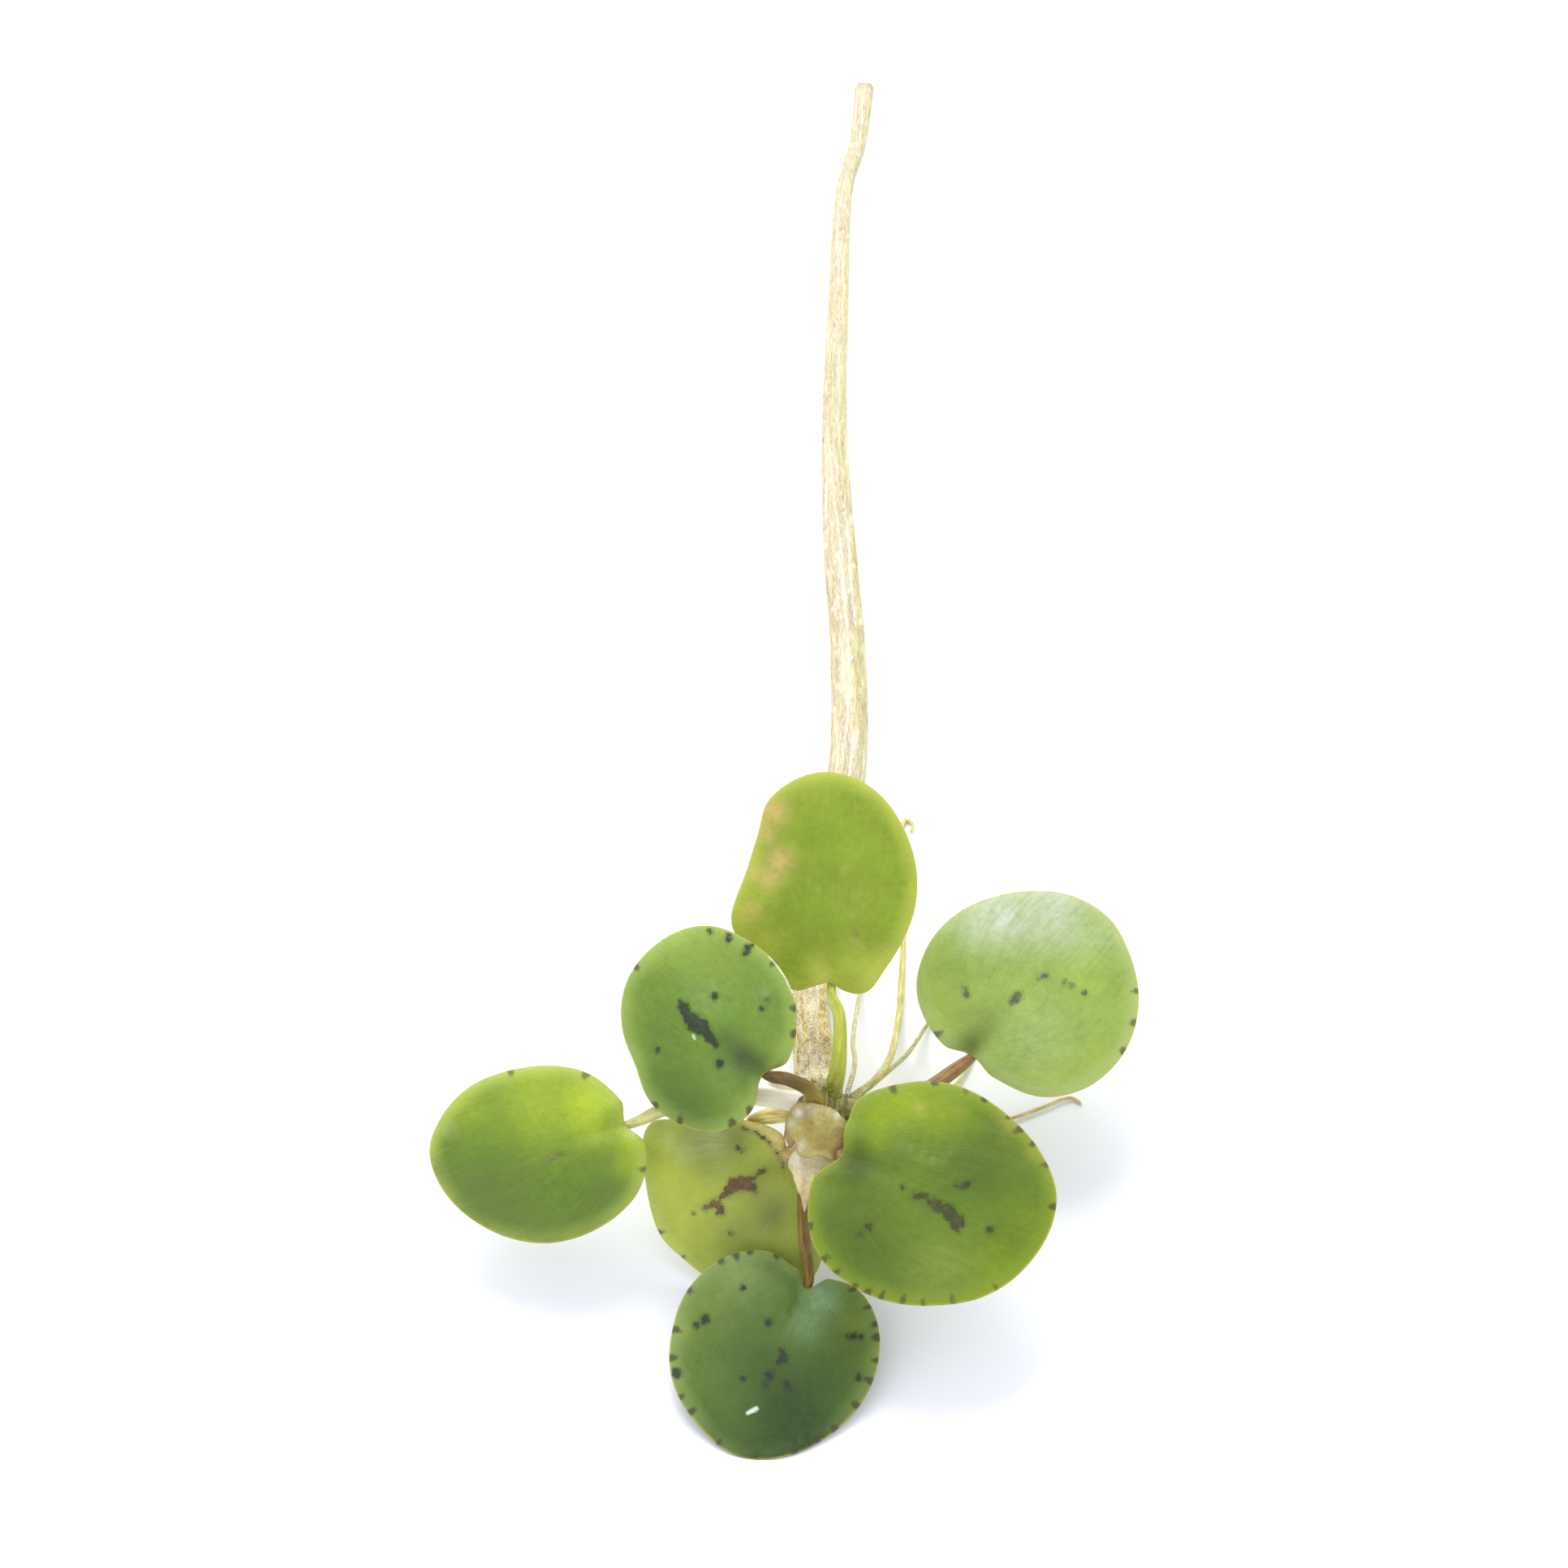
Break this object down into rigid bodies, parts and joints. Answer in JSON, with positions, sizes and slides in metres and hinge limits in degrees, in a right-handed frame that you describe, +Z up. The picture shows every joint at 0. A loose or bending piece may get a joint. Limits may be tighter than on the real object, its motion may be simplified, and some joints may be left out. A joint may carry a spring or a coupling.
{
  "type": "frogbit plant",
  "caption": "Small floating pond plant picked and laid down: round fleshy leaves on short stalks around a crown, with a long hairy root bundle trailing behind.",
  "frame": {"origin": "on the surface that the plant lies on, at the middle of its footprint", "axes": "+Z up, +Y the way the roots trail, away from the front leaf, +X to the right of that"},
  "size_m": [0.087, 0.225, 0.0402],
  "materials": {
    "leaf_dark": "satin",
    "leaf_green": "satin",
    "leaf_yellow_green": "satin",
    "leaf_pale": "satin",
    "stalk_green": "satin",
    "stalk_brown": "satin",
    "crown": "satin",
    "sheath": "satin",
    "root_straw": "matte",
    "root_green": "matte",
    "root_bud": "satin",
    "young_leaf": "satin"
  },
  "bodies": {
    "root": {"crown": "crown", "leaf_front": "leaf_dark", "leaf_large": "leaf_green", "leaf_right": "leaf_pale", "leaf_top": "leaf_yellow_green", "leaf_upper_left": "leaf_green", "leaf_lower_left": "leaf_yellow_green", "leaf_far_left": "leaf_yellow_green", "stalk_front": "stalk_brown", "stalk_large": "stalk_green", "stalk_right": "stalk_brown", "stalk_top": "stalk_green", "stalk_upper_left": "stalk_brown", "stalk_lower_left": "stalk_green", "stalk_far_left": "stalk_green", "root_bundle": "root_straw", "root_beside_stalk": "root_straw", "root_hooked": "root_green", "root_behind_leaf": "root_green", "root_green": "root_green", "root_right": "root_straw", "root_bud": "root_bud", "rolled_leaf": "young_leaf", "sheath_brown": "sheath", "sheath_pale": "sheath"}
  },
  "joints": []
}
